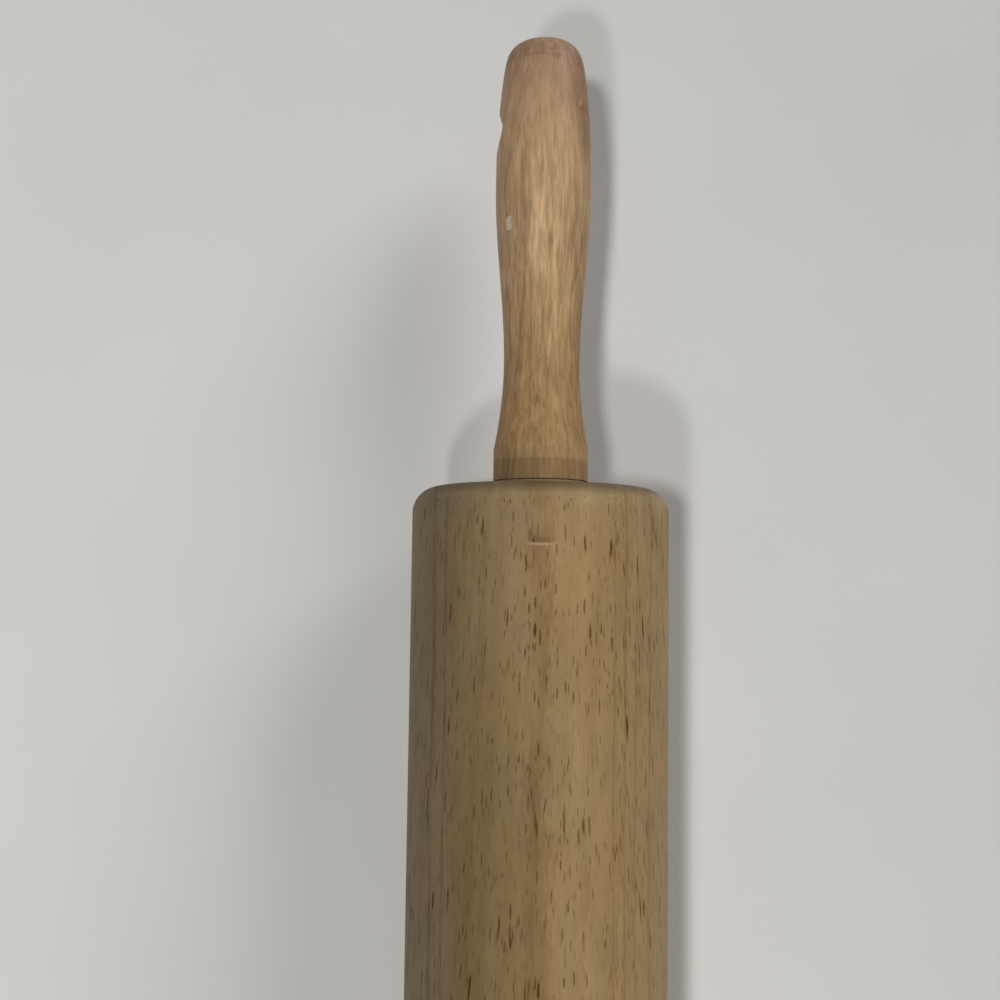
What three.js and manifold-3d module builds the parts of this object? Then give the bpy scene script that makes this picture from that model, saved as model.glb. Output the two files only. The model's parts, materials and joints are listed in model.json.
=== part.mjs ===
// A wooden rolling pin: a turned barrel that spins on ball bearings, on a steel axle between two handles.
// Millimetres, +Z up. The pin lies along X and the worktop is Z = 0, under the middle of the barrel.
import * as THREE from 'three';
import { mergeVertices } from 'three/addons/utils/BufferGeometryUtils.js';
import Module from 'manifold-3d';

const wasm = await Module();
wasm.setup();

// Barrel
const BARREL_DIAMETER = 70;
const BARREL_LENGTH = 330;
const BARREL_EDGE_RADIUS = 7;

// Handles, measured along the axis from the flat base or back from the tip
const HANDLE_LENGTH = 123;
const HANDLE_GAP = 2;
const COLLAR_DIAMETER = 26;
const COLLAR_LENGTH = 8.8;
const COLLAR_CHAMFER = 0.5;
const WAIST_DIAMETER = 20.9;
const WAIST_FROM_BASE = 33.5;
const GRIP_DIAMETER = 26.6;
const GRIP_FROM_TIP = 42;
const SHOULDER_DIAMETER = 23.7;
const SHOULDER_FROM_TIP = 11;
const TIP_CORNER_DIAMETER = 21.2;
const TIP_FLAT_DIAMETER = 18.6;

// The dent in the side of the right handle
const DENT_DEPTH = 1.4;
const DENT_LENGTH = 12;
const DENT_FROM_TIP = 25;

// Axle and the inserts it screws into
const AXLE_DIAMETER = 10;
const AXLE_CHAMFER = 0.8;
const THREAD_DIAMETER = 8;
const THREAD_ENGAGEMENT = 34;
const DRILL_CLEARANCE = 2;
const INSERT_LENGTH = 26;
const INSERT_WALL = 1.6;
const INSERT_FLANGE_DIAMETER = 16;
const INSERT_FLANGE_THICKNESS = 1.5;
const BARB_HEIGHT = 0.5;
const BARB_COUNT = 4;
const SPACER_FLANGE_DIAMETER = 25.6;

// Ball bearings
const BALL_DIAMETER = 4;
const BALL_BRIDGE = 2;
const INNER_RING_WALL = 1;
const OUTER_RING_WALL = 1.3;
const RACE_SHOULDER_HEIGHT = 0.65;
const CAGE_THICKNESS = 1.6;
const CAGE_WEB = 0.5;
const SHIELD_THICKNESS = 0.4;
const SHIELD_SEAT_DEPTH = 0.6;
const BEARING_RECESS = 0.5;
const BEARING_RELIEF_DEPTH = 2;

// Clearances between pieces: round seats, flat seats, and pieces that turn on each other
const FIT_GAP = 0.3;
const FACE_GAP = 0.1;
const BALL_GAP = 0.2;
const RUNNING_GAP = 0.3;
const AXLE_GAP = 1.5;

// How finely round shapes are cut into flats
const BARREL_SIDES = 48;
const HANDLE_SIDES = 32;
const METAL_SIDES = 24;
const POCKET_SIDES = 12;
const BALL_SIDES = 10;
const BALL_ROWS = 6;
const CURVE_STEPS = 5;
const ARC_STEPS = 3;
const WELD_DISTANCE = 0.001;

// Radii that follow from the sizes above, from the axle outwards
const barrelRadius = BARREL_DIAMETER / 2;
const axleRadius = AXLE_DIAMETER / 2;
const threadRadius = THREAD_DIAMETER / 2;
const ballRadius = BALL_DIAMETER / 2;
const threadBore = threadRadius + FIT_GAP;
const innerRaceRadius = threadBore + INNER_RING_WALL;
const raceCurveRadius = ballRadius + BALL_GAP;
const pitchRadius = innerRaceRadius + raceCurveRadius;
const outerRaceRadius = pitchRadius + raceCurveRadius;
const bearingRadius = outerRaceRadius + OUTER_RING_WALL;
const innerShoulderRadius = innerRaceRadius + RACE_SHOULDER_HEIGHT;
const outerShoulderRadius = outerRaceRadius - RACE_SHOULDER_HEIGHT;
const shieldSeatRadius = outerShoulderRadius + SHIELD_SEAT_DEPTH;
const raceHalfAngle = Math.acos((raceCurveRadius - RACE_SHOULDER_HEIGHT) / raceCurveRadius);

// Distances along the axis, from the middle of a bearing or the middle of the barrel
const pocketRadius = ballRadius + BALL_GAP;
const cageHalfWidth = pocketRadius + CAGE_WEB;
const shieldInside = cageHalfWidth + RUNNING_GAP;
const shieldOutside = shieldInside + SHIELD_THICKNESS;
const bearingHalfWidth = shieldOutside + FACE_GAP;
const barrelEnd = BARREL_LENGTH / 2;
const bearingOutside = barrelEnd - BEARING_RECESS;
const bearingMiddle = bearingOutside - bearingHalfWidth;
const bearingInside = bearingMiddle - bearingHalfWidth;
const handleBase = barrelEnd + HANDLE_GAP;

// The barrel rests on the middle of one of its flats
const axisHeight = barrelRadius * Math.cos(Math.PI / BARREL_SIDES);

const pinWood = new THREE.MeshStandardMaterial({ color: 0xc2a079, roughness: 0.7 });
const handleWood = new THREE.MeshStandardMaterial({ color: 0xc9935f, roughness: 0.65 });
const steel = new THREE.MeshStandardMaterial({ color: 0xb4b7ba, roughness: 0.35, metalness: 1 });
const bearingSteel = new THREE.MeshStandardMaterial({ color: 0xc9ccd0, roughness: 0.2, metalness: 1 });
const zincSteel = new THREE.MeshStandardMaterial({ color: 0x9fa3a6, roughness: 0.5, metalness: 1 });
const nylon = new THREE.MeshStandardMaterial({ color: 0xe6e1d3, roughness: 0.6 });
const tanNylon = new THREE.MeshStandardMaterial({ color: 0x957d59, roughness: 0.6 });

// A solid turned about the Y axis, with a flat facing down. Its outline runs up the outside, then down.
function turned(name, outline, sides, material) {
  const geometry = new THREE.LatheGeometry(outline, sides, Math.PI / sides);
  const mesh = new THREE.Mesh(geometry, material);
  mesh.name = name;
  return mesh;
}

function closedRing(corners) {
  const points = corners.map(([radius, height]) => new THREE.Vector2(radius, height));
  return [...points, points[0].clone()];
}

// A plain ring between two radii and two heights
function ringOutline(inside, outside, bottom, top) {
  return closedRing([[inside, bottom], [outside, bottom], [outside, top], [inside, top]]);
}

// Booleans go through a manifold solid in the mesh's parent frame
function toSolid(mesh) {
  mesh.updateMatrix();
  const geometry = mesh.geometry.clone().applyMatrix4(mesh.matrix);
  geometry.deleteAttribute('normal');
  geometry.deleteAttribute('uv');
  const merged = mergeVertices(geometry, WELD_DISTANCE);
  const triVerts = new Uint32Array(merged.index.array);
  const vertProperties = merged.getAttribute('position').array;
  return new wasm.Manifold(new wasm.Mesh({ numProp: 3, vertProperties, triVerts }));
}

function fromSolid(name, solid, material) {
  const cut = solid.getMesh();
  const geometry = new THREE.BufferGeometry();
  geometry.setAttribute('position', new THREE.BufferAttribute(cut.vertProperties, 3));
  geometry.setIndex(new THREE.BufferAttribute(cut.triVerts, 1));
  geometry.computeVertexNormals();
  const mesh = new THREE.Mesh(geometry, material);
  mesh.name = name;
  return mesh;
}

function makeBarrel() {
  const seatRadius = bearingRadius + FIT_GAP;
  const seatFloor = bearingInside - FACE_GAP;
  const reliefFloor = seatFloor - BEARING_RELIEF_DEPTH;
  const boreRadius = axleRadius + AXLE_GAP;
  const edge = barrelRadius - BARREL_EDGE_RADIUS;
  const edgeHeight = barrelEnd - BARREL_EDGE_RADIUS;
  const outline = new THREE.Path();
  outline.moveTo(boreRadius, -reliefFloor);
  outline.lineTo(shieldSeatRadius, -reliefFloor);
  outline.lineTo(shieldSeatRadius, -seatFloor);
  outline.lineTo(seatRadius, -seatFloor);
  outline.lineTo(seatRadius, -barrelEnd);
  outline.absarc(edge, -edgeHeight, BARREL_EDGE_RADIUS, -Math.PI / 2, 0);
  outline.absarc(edge, edgeHeight, BARREL_EDGE_RADIUS, 0, Math.PI / 2);
  outline.lineTo(seatRadius, barrelEnd);
  outline.lineTo(seatRadius, seatFloor);
  outline.lineTo(shieldSeatRadius, seatFloor);
  outline.lineTo(shieldSeatRadius, reliefFloor);
  outline.lineTo(boreRadius, reliefFloor);
  outline.closePath();
  return turned('barrel', outline.getPoints(ARC_STEPS), BARREL_SIDES, pinWood);
}

function makeAxle() {
  const shoulder = bearingInside - FACE_GAP;
  const end = handleBase + THREAD_ENGAGEMENT;
  const half = [
    [axleRadius, shoulder - AXLE_CHAMFER],
    [axleRadius - AXLE_CHAMFER / 2, shoulder],
    [threadRadius, shoulder],
    [threadRadius, end - AXLE_CHAMFER],
    [threadRadius - AXLE_CHAMFER, end],
    [0, end],
  ];
  const mirrored = half.map(([radius, height]) => [radius, -height]).reverse();
  const outline = [...mirrored, ...half].map(([radius, height]) => new THREE.Vector2(radius, height));
  return turned('axle_rod', outline, METAL_SIDES, steel);
}

// The outside of a handle from its base to its tip: collar, waist, grip and a rounded, nearly flat tip
function handleOutside() {
  const collarRadius = COLLAR_DIAMETER / 2;
  const waistRadius = WAIST_DIAMETER / 2;
  const gripRadius = GRIP_DIAMETER / 2;
  const shoulderRadius = SHOULDER_DIAMETER / 2;
  const tipCornerRadius = TIP_CORNER_DIAMETER / 2;
  const grip = HANDLE_LENGTH - GRIP_FROM_TIP;
  const shoulder = HANDLE_LENGTH - SHOULDER_FROM_TIP;
  const gripRun = shoulder - grip;
  const tipSlope = (shoulderRadius - tipCornerRadius) / SHOULDER_FROM_TIP;
  const lead = gripRun / 3;
  const third = (grip - WAIST_FROM_BASE) / 3;
  const middle = (COLLAR_LENGTH + WAIST_FROM_BASE) / 2;
  const outside = new THREE.Path();
  outside.moveTo(collarRadius - COLLAR_CHAMFER, 0);
  outside.lineTo(collarRadius, COLLAR_CHAMFER);
  outside.lineTo(collarRadius, COLLAR_LENGTH);
  outside.quadraticCurveTo(waistRadius, middle, waistRadius, WAIST_FROM_BASE);
  outside.bezierCurveTo(waistRadius, WAIST_FROM_BASE + third, gripRadius, grip - third, gripRadius, grip);
  outside.bezierCurveTo(
    gripRadius, grip + gripRun / 2,
    shoulderRadius + tipSlope * lead, shoulder - lead,
    shoulderRadius, shoulder,
  );
  outside.bezierCurveTo(
    tipCornerRadius, HANDLE_LENGTH,
    TIP_FLAT_DIAMETER / 2, HANDLE_LENGTH,
    0, HANDLE_LENGTH,
  );
  return outside.getPoints(CURVE_STEPS);
}

function makeHandle(side) {
  const flangeSeat = INSERT_FLANGE_DIAMETER / 2 + FIT_GAP;
  const sleeveSeat = threadBore + INSERT_WALL + FIT_GAP;
  const insertFloor = INSERT_LENGTH + FACE_GAP;
  const flangeFloor = INSERT_FLANGE_THICKNESS + FACE_GAP;
  const drillFloor = Math.max(THREAD_ENGAGEMENT, insertFloor) + DRILL_CLEARANCE;
  const bore = [
    [0, drillFloor + threadBore / 2],
    [threadBore, drillFloor],
    [threadBore, insertFloor],
    [sleeveSeat, insertFloor],
    [sleeveSeat, flangeFloor],
    [flangeSeat, flangeFloor],
    [flangeSeat, 0],
  ].map(([radius, height]) => new THREE.Vector2(radius, height));
  return turned(`handle_${side}`, [...bore, ...handleOutside()], HANDLE_SIDES, handleWood);
}

// The handle's radius at a height, read off its outline
function handleRadiusAt(height) {
  const points = handleOutside();
  const above = points.findIndex((point) => point.y >= height);
  const [low, high] = [points[above - 1], points[above]];
  return THREE.MathUtils.mapLinear(height, low.y, high.y, low.x, high.x);
}

// A shallow scallop, cut by a cylinder that stands upright beside the handle
function dented(handle) {
  const height = HANDLE_LENGTH - DENT_FROM_TIP;
  const cutterRadius = (DENT_LENGTH ** 2 / 4 + DENT_DEPTH ** 2) / (2 * DENT_DEPTH);
  const reach = handleRadiusAt(height) - DENT_DEPTH + cutterRadius;
  const tool = new THREE.CylinderGeometry(cutterRadius, cutterRadius, GRIP_DIAMETER, HANDLE_SIDES);
  const cutter = new THREE.Mesh(tool);
  cutter.rotation.x = Math.PI / 2;
  cutter.position.set(-reach, height, 0);
  return fromSolid(handle.name, toSolid(handle).subtract(toSolid(cutter)), handleWood);
}

function makeInsert(side) {
  const root = threadBore + INSERT_WALL - BARB_HEIGHT;
  const barbTop = INSERT_LENGTH - INSERT_WALL;
  const barbPitch = (barbTop - INSERT_FLANGE_THICKNESS) / BARB_COUNT;
  const corners = [
    [threadBore, 0],
    [INSERT_FLANGE_DIAMETER / 2, 0],
    [INSERT_FLANGE_DIAMETER / 2, INSERT_FLANGE_THICKNESS],
    [root, INSERT_FLANGE_THICKNESS],
  ];
  for (let barb = 1; barb <= BARB_COUNT; barb += 1) {
    const top = INSERT_FLANGE_THICKNESS + barb * barbPitch;
    corners.push([root + BARB_HEIGHT, top - barbPitch / 2], [root, top]);
  }
  corners.push([root, INSERT_LENGTH], [threadBore, INSERT_LENGTH]);
  return turned(`threaded_insert_${side}`, closedRing(corners), METAL_SIDES, zincSteel);
}

// A washer that presses on the inner ring alone, and whose flange closes the gap under the handle to flour
function makeSpacer(side) {
  const inside = bearingOutside + FACE_GAP;
  const flangeInside = barrelEnd + RUNNING_GAP;
  const outside = handleBase - FACE_GAP;
  const outline = closedRing([
    [threadBore, inside],
    [innerShoulderRadius, inside],
    [innerShoulderRadius, flangeInside],
    [SPACER_FLANGE_DIAMETER / 2, flangeInside],
    [SPACER_FLANGE_DIAMETER / 2, outside],
    [threadBore, outside],
  ]);
  return turned(`spacer_washer_${side}`, outline, HANDLE_SIDES, tanNylon);
}

function makeInnerRing(side) {
  const outline = new THREE.Path();
  outline.moveTo(threadBore, -bearingHalfWidth);
  outline.lineTo(innerShoulderRadius, -bearingHalfWidth);
  outline.absarc(pitchRadius, 0, raceCurveRadius, Math.PI + raceHalfAngle, Math.PI - raceHalfAngle, true);
  outline.lineTo(innerShoulderRadius, bearingHalfWidth);
  outline.lineTo(threadBore, bearingHalfWidth);
  outline.closePath();
  return turned(`bearing_inner_ring_${side}`, outline.getPoints(ARC_STEPS), METAL_SIDES, bearingSteel);
}

function makeOuterRing(side) {
  const seatFloor = shieldInside - FACE_GAP;
  const outline = new THREE.Path();
  outline.moveTo(shieldSeatRadius, -bearingHalfWidth);
  outline.lineTo(bearingRadius, -bearingHalfWidth);
  outline.lineTo(bearingRadius, bearingHalfWidth);
  outline.lineTo(shieldSeatRadius, bearingHalfWidth);
  outline.lineTo(shieldSeatRadius, seatFloor);
  outline.lineTo(outerShoulderRadius, seatFloor);
  outline.absarc(pitchRadius, 0, raceCurveRadius, raceHalfAngle, -raceHalfAngle, true);
  outline.lineTo(outerShoulderRadius, -seatFloor);
  outline.lineTo(shieldSeatRadius, -seatFloor);
  outline.closePath();
  return turned(`bearing_outer_ring_${side}`, outline.getPoints(ARC_STEPS), METAL_SIDES, bearingSteel);
}

function makeShield(name, bottom) {
  const inside = innerShoulderRadius + RUNNING_GAP;
  const outline = ringOutline(inside, shieldSeatRadius - FIT_GAP, bottom, bottom + SHIELD_THICKNESS);
  return turned(name, outline, METAL_SIDES, zincSteel);
}

// As many balls as leave the set bridge of cage between their pockets
const ballCount = Math.floor((2 * Math.PI * pitchRadius) / (2 * pocketRadius + BALL_BRIDGE));
const ballAngles = Array.from({ length: ballCount }, (_, ball) => (2 * Math.PI * ball) / ballCount);

// A ring with a round pocket through it for each ball
function makeCage(side) {
  const inside = pitchRadius - CAGE_THICKNESS / 2;
  const outside = pitchRadius + CAGE_THICKNESS / 2;
  const outline = ringOutline(inside, outside, -cageHalfWidth, cageHalfWidth);
  let cage = toSolid(turned('ring', outline, METAL_SIDES, nylon));
  for (const angle of ballAngles) {
    const drill = new THREE.CylinderGeometry(pocketRadius, pocketRadius, 2 * CAGE_THICKNESS, POCKET_SIDES);
    const pocket = new THREE.Mesh(drill.rotateX(Math.PI / 2));
    pocket.rotation.y = angle;
    pocket.position.set(pitchRadius * Math.sin(angle), 0, pitchRadius * Math.cos(angle));
    cage = cage.subtract(toSolid(pocket));
  }
  return fromSolid(`bearing_cage_${side}`, cage, nylon);
}

function makeBalls(side) {
  return ballAngles.map((angle, index) => {
    const ball = new THREE.Mesh(new THREE.SphereGeometry(ballRadius, BALL_SIDES, BALL_ROWS), bearingSteel);
    ball.name = `bearing_ball_${side}_${index + 1}`;
    ball.position.set(pitchRadius * Math.sin(angle), 0, pitchRadius * Math.cos(angle));
    return ball;
  });
}

function makeBearing(side) {
  const bearing = new THREE.Group();
  bearing.position.y = bearingMiddle;
  bearing.add(makeInnerRing(side), makeOuterRing(side), makeCage(side), ...makeBalls(side));
  bearing.add(makeShield(`bearing_shield_inner_${side}`, -shieldOutside));
  bearing.add(makeShield(`bearing_shield_outer_${side}`, shieldInside));
  return bearing;
}

// Everything at one end of the pin, built up along +Y from the middle of the barrel
function makeEnd(side, handle) {
  const end = new THREE.Group();
  const insert = makeInsert(side);
  handle.position.y = handleBase;
  insert.position.y = handleBase;
  end.add(makeBearing(side), makeSpacer(side), insert, handle);
  return end;
}

const rightEnd = makeEnd('right', dented(makeHandle('right')));
const leftEnd = makeEnd('left', makeHandle('left'));
leftEnd.rotation.z = Math.PI;

const pin = new THREE.Group();
pin.name = 'rolling_pin';
pin.add(makeBarrel(), makeAxle(), rightEnd, leftEnd);

// The pin is built upright about Y, and lies down along X on the worktop
pin.rotation.z = -Math.PI / 2;
pin.position.z = axisHeight;

const part = new THREE.Group();
part.add(pin);

export default part;
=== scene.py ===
"""Looks for a wooden rolling pin: fine turned wood, steel and nylon, a pale floor, soft light and a camera.

The pin lies along X, its photographed handle toward +X, and rests on the floor at Z = 0.
"""

import json
import math
from dataclasses import dataclass

import bmesh
import bpy
from mathutils import Matrix, Vector


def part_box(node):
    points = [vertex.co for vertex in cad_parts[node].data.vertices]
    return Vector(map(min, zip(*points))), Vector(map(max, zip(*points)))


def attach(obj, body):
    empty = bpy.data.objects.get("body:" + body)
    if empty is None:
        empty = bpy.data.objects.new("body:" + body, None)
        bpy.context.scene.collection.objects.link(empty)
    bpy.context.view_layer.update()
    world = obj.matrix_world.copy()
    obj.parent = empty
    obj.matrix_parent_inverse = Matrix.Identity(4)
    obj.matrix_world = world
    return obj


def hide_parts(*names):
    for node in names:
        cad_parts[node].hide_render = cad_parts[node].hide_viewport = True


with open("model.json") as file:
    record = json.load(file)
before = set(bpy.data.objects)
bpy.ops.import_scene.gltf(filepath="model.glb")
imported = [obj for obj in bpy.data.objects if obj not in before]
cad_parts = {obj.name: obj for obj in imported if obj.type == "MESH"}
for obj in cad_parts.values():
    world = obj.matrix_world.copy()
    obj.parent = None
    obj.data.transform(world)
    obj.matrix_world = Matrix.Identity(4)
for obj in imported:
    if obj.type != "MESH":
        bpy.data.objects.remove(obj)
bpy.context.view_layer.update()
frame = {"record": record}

# Lengths are in millimetres, and turn into metres as meshes, lamps and the camera are made
MM = 0.001

# Places and sizes that are read off the solids
barrel_low, barrel_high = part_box("barrel")
AXIS_HEIGHT = (barrel_low.z + barrel_high.z) / 2 / MM
BARREL_RADIUS = (barrel_high.z - barrel_low.z) / 2 / MM
BARREL_END = barrel_high.x / MM
HANDLE_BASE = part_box("handle_right")[0].x / MM
HANDLE_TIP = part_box("handle_right")[1].x / MM
HANDLE_LENGTH = HANDLE_TIP - HANDLE_BASE
BEARING_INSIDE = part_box("bearing_outer_ring_right")[0].x / MM
BEARING_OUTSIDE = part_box("bearing_outer_ring_right")[1].x / MM
BEARING_MIDDLE = (BEARING_INSIDE + BEARING_OUTSIDE) / 2

# Barrel
BARREL_EDGE_RADIUS = 7
BEARING_SEAT_RADIUS = 11.3
BEARING_SEAT_DEPTH = 7.6
RELIEF_RADIUS = 9.65
RELIEF_DEPTH = 2
AXLE_BORE_RADIUS = 6.5

# Handle, along the axis from the base or back from the tip
COLLAR_RADIUS = 13
COLLAR_LENGTH = 8.8
COLLAR_ROUND = 0.15
WAIST_RADIUS = 10.45
WAIST_FROM_BASE = 33.5
GRIP_RADIUS = 13.28
GRIP_FROM_TIP = 42
SHOULDER_RADIUS = 11.85
SHOULDER_FROM_TIP = 11
TIP_CORNER_RADIUS = 10.6
TIP_FLAT_RADIUS = 9.3
FLANGE_SEAT_RADIUS = 8.3
FLANGE_SEAT_DEPTH = 1.6
INSERT_BORE_RADIUS = 6.2
INSERT_BORE_DEPTH = 26.1
DRILL_RADIUS = 4.3
DRILL_DEPTH = 36

# The dent in the +Y side of the photographed handle, steep toward the tip, and the worn side beyond it
DENT_DEPTH = 1.4
DENT_BOTTOM_FROM_TIP = 23.1
DENT_STEEP_LENGTH = 3.8
DENT_GENTLE_LENGTH = 9
DENT_LEAN = 0.3
WORN_DEPTH = 0.22
WORN_FADE_FROM_TIP = 4

# The nick across the top of the barrel, with its steep wall on the far side from the handle
NICK_FROM_END = 15.9
NICK_MIDDLE_Y = 1
NICK_HALF_LENGTH = 4.2
NICK_CURVE = 0.015
NICK_DEPTH = 0.3
NICK_WALL = 0.7
NICK_RUNOUT = 2.6

# Axle and the inserts that it screws into
AXLE_RADIUS = 5
AXLE_SHOULDER = 157.4
AXLE_END = 201
AXLE_CHAMFER = 0.8
THREAD_RADIUS = 4
THREAD_START = 167.5
THREAD_PITCH = 1.25
THREAD_DEPTH = 0.7
RINGS_PER_PITCH = 6
INSERT_LENGTH = 26
INSERT_BORE = 4.3
INSERT_ROOT = 5.4
BARB_HEIGHT = 0.5
BARB_COUNT = 4
BARBS_END = 24.4
FLANGE_RADIUS = 8
FLANGE_THICKNESS = 1.5
SPACER_FLANGE_RADIUS = 12.8

# Ball bearings
RING_BORE = 4.3
INNER_SHOULDER = 5.95
PITCH_RADIUS = 7.5
RACE_CURVE = 2.2
RACE_HALF_ANGLE = 45.2
OUTER_SHOULDER = 9.05
SHIELD_SEAT = 9.65
SHIELD_SEAT_FLOOR = 2.9
BEARING_RADIUS = 11
BALL_RADIUS = 2
SHIELD_BORE = 6.25
SHIELD_RADIUS = 9.35
SHIELD_INSIDE = 3.0
SHIELD_OUTSIDE = 3.4
CAGE_BORE = 6.7
CAGE_RADIUS = 8.3
CAGE_HALF_WIDTH = 2.7
POCKET_RADIUS = 2.2
FACE_GAP = 0.1
RUNNING_GAP = 0.3
EDGE_BREAK = 0.2

BARREL_SIDES = 192
HANDLE_SIDES = 112
METAL_SIDES = 64
THREAD_SIDES = 32
POCKET_SIDES = 42
CURVE_STEPS = 18
COLLAR_STEPS = 6
BARREL_STEPS = 30
NICK_STEPS = 32
RACE_STEPS = 12
BALL_SUBDIVISIONS = 4
SHARP_ANGLE = math.radians(28)


def arc(middle_x, middle_radius, radius, start, end, steps):
    """An arc's points, as (x, radius) pairs. Angle 0 points away from the axis, 90 degrees toward +X."""
    points = []
    for step in range(steps + 1):
        angle = math.radians(start + (end - start) * step / steps)
        points.append((middle_x + radius * math.sin(angle), middle_radius + radius * math.cos(angle)))
    return points


def bezier(controls, steps):
    """Points along a Bezier curve of any order, without its first point."""
    points = []
    for step in range(1, steps + 1):
        t = step / steps
        row = [Vector(control) for control in controls]
        while len(row) > 1:
            row = [a.lerp(b, t) for a, b in zip(row, row[1:])]
        points.append(tuple(row[0]))
    return points


def spread(start, end, steps):
    """Evenly spaced points on a straight stretch of an outline, without its ends."""
    return [tuple(Vector(start).lerp(Vector(end), step / steps)) for step in range(1, steps)]


def smooth_step(value, low, high):
    t = min(max((value - low) / (high - low), 0), 1)
    return t * t * (3 - 2 * t)


def new_object(name, bm):
    bmesh.ops.recalc_face_normals(bm, faces=bm.faces)
    mesh = bpy.data.meshes.new(name)
    bm.to_mesh(mesh)
    bm.free()
    mesh.shade_smooth()
    mesh.set_sharp_from_angle(angle=SHARP_ANGLE)
    made = bpy.data.objects.new(name, mesh)
    bpy.context.scene.collection.objects.link(made)
    return made


def turned(name, outline, sides, closed):
    """A new object turned about the pin's axis from (x, radius) points, and unrolled flat in its UV map."""
    bm = bmesh.new()
    unrolled = bm.loops.layers.uv.new("OFBake")
    rings = []
    for x, radius in outline:
        ring = []
        for side in range(sides if radius > 0 else 1):
            angle = 2 * math.pi * side / sides
            place = Vector((x, radius * math.sin(angle), AXIS_HEIGHT + radius * math.cos(angle)))
            ring.append(bm.verts.new(place * MM))
        rings.append(ring)
    stops = [0]
    for near, far in zip(outline, outline[1:] + outline[:1]):
        stops.append(stops[-1] + math.dist(near, far))
    bands = len(rings) if closed else len(rings) - 1
    for band in range(bands):
        near, far = rings[band], rings[(band + 1) % len(rings)]
        low, high = stops[band] / stops[bands], stops[band + 1] / stops[bands]
        for side in range(sides):
            corners = {}
            for ring, height, turns in ((near, low, (side, side + 1)), (far, high, (side + 1, side))):
                for turn in turns:
                    corners.setdefault(ring[turn % len(ring)], (turn / sides, height))
            face = bm.faces.new(list(corners))
            for loop in face.loops:
                loop[unrolled].uv = corners[loop.vert]
    return new_object(name, bm)


def mirrored(outline, sign):
    """An outline of the +X end as it stands, or swapped to the -X end."""
    return [(sign * x, radius) for x, radius in outline]


def barrel_outline():
    """The barrel's closed outline: rounded ends outside, bearing seats and the axle's bore inside."""
    edge = BARREL_RADIUS - BARREL_EDGE_RADIUS
    shoulder = BARREL_END - BARREL_EDGE_RADIUS
    nick_start = BARREL_END - NICK_FROM_END - NICK_WALL
    nick_end = BARREL_END - NICK_FROM_END + NICK_WALL + NICK_RUNOUT
    seat_floor = BARREL_END - BEARING_SEAT_DEPTH
    relief_floor = seat_floor - RELIEF_DEPTH
    points = arc(-shoulder, edge, BARREL_EDGE_RADIUS, -90, 0, CURVE_STEPS)
    points += spread((-shoulder, BARREL_RADIUS), (nick_start, BARREL_RADIUS), BARREL_STEPS)
    points += spread((nick_start, BARREL_RADIUS), (nick_end, BARREL_RADIUS), NICK_STEPS)
    points += arc(shoulder, edge, BARREL_EDGE_RADIUS, 0, 90, CURVE_STEPS)
    inside = [
        (BARREL_END, BEARING_SEAT_RADIUS),
        (seat_floor, BEARING_SEAT_RADIUS),
        (seat_floor, RELIEF_RADIUS),
        (relief_floor, RELIEF_RADIUS),
        (relief_floor, AXLE_BORE_RADIUS),
    ]
    return points + inside + mirrored(reversed(inside), -1)


def cut_nick(mesh):
    """A crescent nick across the top of the barrel: a steep wall, then a gentle way back up."""
    for vertex in mesh.vertices:
        x, y, z = vertex.co / MM
        across = (y - NICK_MIDDLE_Y) / NICK_HALF_LENGTH
        if z < AXIS_HEIGHT or abs(across) > 1:
            continue
        along = x - (BARREL_END - NICK_FROM_END) - NICK_CURVE * (y - NICK_MIDDLE_Y) ** 2
        fall = smooth_step(along, -NICK_WALL / 2, NICK_WALL / 2)
        rise = smooth_step(along, NICK_WALL / 2, NICK_WALL / 2 + NICK_RUNOUT)
        vertex.co.z -= NICK_DEPTH * (fall - rise) * (1 - across * across) * MM


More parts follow.
